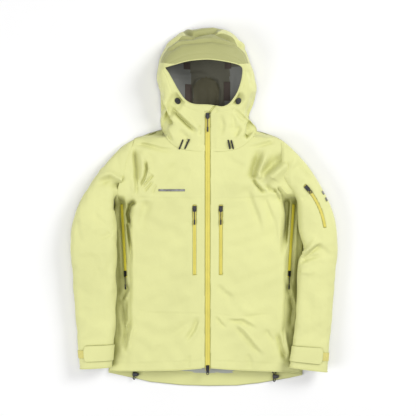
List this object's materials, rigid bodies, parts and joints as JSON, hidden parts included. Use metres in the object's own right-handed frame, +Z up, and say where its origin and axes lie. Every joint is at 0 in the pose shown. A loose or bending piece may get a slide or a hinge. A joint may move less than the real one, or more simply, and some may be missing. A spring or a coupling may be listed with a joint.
{
  "type": "hardshell jacket",
  "caption": "Hooded waterproof mountaineering jacket with a two-way front zip, chest pockets, underarm vents, a sleeve pocket and adjustable cuffs, lying flat on its back.",
  "frame": {"origin": "middle of the jacket's outline, on the surface that its back lies on", "axes": "+X to the wearer's left, +Y towards the hood, +Z up out of the front"},
  "size_m": [0.7355, 0.9907, 0.1088],
  "materials": {
    "shell_fabric": "soft matte woven shell",
    "lining": "smooth grey knit backer",
    "zip_tape": "coated, slight sheen",
    "hook_loop": "short pile",
    "black_plastic": "satin",
    "black_metal": "satin black coat",
    "black_cord": "braided"
  },
  "bodies": {
    "torso": {"back_panel": "shell_fabric", "back_hem_facing": "shell_fabric", "collar_back": "shell_fabric", "side_panel_right": "shell_fabric", "side_panel_left": "shell_fabric", "front_yoke_right": "shell_fabric", "front_yoke_left": "shell_fabric", "front_panel_right": "shell_fabric", "front_panel_left": "shell_fabric", "collar_right": "shell_fabric", "collar_left": "shell_fabric", "zip_tape_right": "zip_tape", "zip_tape_left": "zip_tape", "chest_zip_tape_right": "zip_tape", "chest_zip_tape_left": "zip_tape", "chest_pocket_bag_right": "lining", "chest_pocket_bag_left": "lining", "pit_zip_tape_right": "zip_tape", "pit_zip_tape_left": "zip_tape", "hood_lock_right": "black_plastic", "hood_lock_left": "black_plastic", "hood_cord_right": "black_cord", "hood_cord_left": "black_cord", "hem_cord_right": "black_cord", "hem_cord_left": "black_cord", "hem_cordlock_right": "black_plastic", "hem_cordlock_left": "black_plastic", "zip_box": "black_plastic", "storm_flap": "shell_fabric", "hanger_loop": "lining"},
    "hood": {"hood_side_right": "shell_fabric", "hood_side_left": "shell_fabric", "hood_brim": "shell_fabric", "hood_crown": "shell_fabric", "hood_back": "shell_fabric"},
    "sleeve_right": {"sleeve_right": "shell_fabric", "cuff_patch_right": "hook_loop"},
    "sleeve_left": {"sleeve_left": "shell_fabric", "cuff_patch_left": "hook_loop", "sleeve_zip_tape": "zip_tape"},
    "cuff_tab_right": {"cuff_tab_right": "shell_fabric"},
    "cuff_tab_left": {"cuff_tab_left": "shell_fabric"},
    "front_top_slider": {"front_top_slider": "black_metal"},
    "front_top_pull": {"front_top_pull": "black_metal"},
    "front_bottom_slider": {"front_bottom_slider": "black_metal"},
    "front_bottom_pull": {"front_bottom_pull": "black_metal"},
    "chest_right_slider": {"chest_right_slider": "black_metal"},
    "chest_right_pull": {"chest_right_pull": "black_metal"},
    "chest_left_slider": {"chest_left_slider": "black_metal"},
    "chest_left_pull": {"chest_left_pull": "black_metal"},
    "pit_right_slider": {"pit_right_slider": "black_metal"},
    "pit_right_pull": {"pit_right_pull": "black_metal"},
    "pit_left_slider": {"pit_left_slider": "black_metal"},
    "pit_left_pull": {"pit_left_pull": "black_metal"},
    "sleeve_slider": {"sleeve_slider": "black_metal"},
    "sleeve_pull": {"sleeve_pull": "black_metal"},
    "hood_button_right": {"hood_button_right": "black_plastic"},
    "hem_plunger_right": {"hem_plunger_right": "black_plastic"},
    "hood_button_left": {"hood_button_left": "black_plastic"},
    "hem_plunger_left": {"hem_plunger_left": "black_plastic"}
  },
  "joints": [
    {"name": "hood_tilt", "type": "hinge", "parent": "torso", "child": "hood", "pos_m": [0.01, 0.303, 0.07], "axis": [1, 0, 0], "range_deg": [0, 35]},
    {"name": "sleeve_swing_right", "type": "hinge", "parent": "torso", "child": "sleeve_right", "pos_m": [-0.19, 0.185, 0.03], "axis": [0, 0, -1], "range_deg": [0, 35]},
    {"name": "sleeve_swing_left", "type": "hinge", "parent": "torso", "child": "sleeve_left", "pos_m": [0.21, 0.185, 0.03], "axis": [0, 0, 1], "range_deg": [0, 35]},
    {"name": "cuff_tab_lift_right", "type": "hinge", "parent": "sleeve_right", "child": "cuff_tab_right", "pos_m": [-0.2471, -0.39508, 0.03301], "axis": [0.122, 0.9923, 0.0219], "range_deg": [0, 110]},
    {"name": "cuff_tab_lift_left", "type": "hinge", "parent": "sleeve_left", "child": "cuff_tab_left", "pos_m": [0.23778, -0.39685, 0.04328], "axis": [-0.1481, -0.9882, 0.04], "range_deg": [0, 110]},
    {"name": "front_top_zip", "type": "slide", "parent": "torso", "child": "front_top_slider", "axis": [0, -0.9986, -0.0526], "range_m": [0, 0.44]},
    {"name": "front_bottom_zip", "type": "slide", "parent": "torso", "child": "front_bottom_slider", "axis": [0, 0.9986, 0.0526], "range_m": [0, 0.19]},
    {"name": "chest_zip_right", "type": "slide", "parent": "torso", "child": "chest_right_slider", "axis": [0, -0.9986, -0.0526], "range_m": [0, 0.17]},
    {"name": "chest_zip_left", "type": "slide", "parent": "torso", "child": "chest_left_slider", "axis": [0, -0.9986, -0.0526], "range_m": [0, 0.17]},
    {"name": "pit_zip_right", "type": "slide", "parent": "torso", "child": "pit_right_slider", "axis": [-0.06, 0.9974, -0.0403], "range_m": [0, 0.175]},
    {"name": "pit_zip_left", "type": "slide", "parent": "torso", "child": "pit_left_slider", "axis": [0.0691, 0.9968, -0.0403], "range_m": [0, 0.175]},
    {"name": "sleeve_zip", "type": "hinge", "parent": "sleeve_left", "child": "sleeve_slider", "pos_m": [0.12564, -0.08185, 0.0649], "axis": [0, 0, -1], "range_deg": [0, 31]},
    {"name": "front_top_pull_swing", "type": "hinge", "parent": "front_top_slider", "child": "front_top_pull", "pos_m": [0.01, 0.24981, 0.06806], "axis": [-1, 0, 0], "range_deg": [0, 160]},
    {"name": "front_bottom_pull_swing", "type": "hinge", "parent": "front_bottom_slider", "child": "front_bottom_pull", "pos_m": [0.01, -0.44119, 0.03169], "axis": [-1, 0, 0], "range_deg": [0, 160]},
    {"name": "chest_right_pull_swing", "type": "hinge", "parent": "chest_right_slider", "child": "chest_right_pull", "pos_m": [-0.026, -0.00319, 0.05475], "axis": [-1, 0, 0], "range_deg": [0, 160]},
    {"name": "chest_left_pull_swing", "type": "hinge", "parent": "chest_left_slider", "child": "chest_left_pull", "pos_m": [0.046, -0.00319, 0.05475], "axis": [-1, 0, 0], "range_deg": [0, 160]},
    {"name": "pit_right_pull_swing", "type": "hinge", "parent": "pit_right_slider", "child": "pit_right_pull", "pos_m": [-0.21871, -0.18205, 0.01989], "axis": [-0.7815, -0.0721, -0.6198], "range_deg": [0, 60]},
    {"name": "pit_left_pull_swing", "type": "hinge", "parent": "pit_left_slider", "child": "pit_left_pull", "pos_m": [0.23696, -0.18207, 0.01989], "axis": [-0.7807, 0.0792, 0.6198], "range_deg": [0, 60]},
    {"name": "sleeve_pull_swing", "type": "hinge", "parent": "sleeve_slider", "child": "sleeve_pull", "pos_m": [0.28007, 0.05336, 0.0686], "axis": [-0.7524, -0.6587, 0], "range_deg": [0, 160]},
    {"name": "hood_lock_press_right", "type": "slide", "parent": "torso", "child": "hood_button_right", "axis": [0.2283, 0.0415, -0.9727], "range_m": [0, 0.0018], "stiffness_N_per_m": 200},
    {"name": "hood_lock_press_left", "type": "slide", "parent": "torso", "child": "hood_button_left", "axis": [-0.2661, 0.0401, -0.9631], "range_m": [0, 0.0018], "stiffness_N_per_m": 200},
    {"name": "hem_lock_press_right", "type": "slide", "parent": "torso", "child": "hem_plunger_right", "axis": [-1, 0, 0], "range_m": [0, 0.0022], "stiffness_N_per_m": 200},
    {"name": "hem_lock_press_left", "type": "slide", "parent": "torso", "child": "hem_plunger_left", "axis": [-1, 0, 0], "range_m": [0, 0.0022], "stiffness_N_per_m": 200}
  ]
}
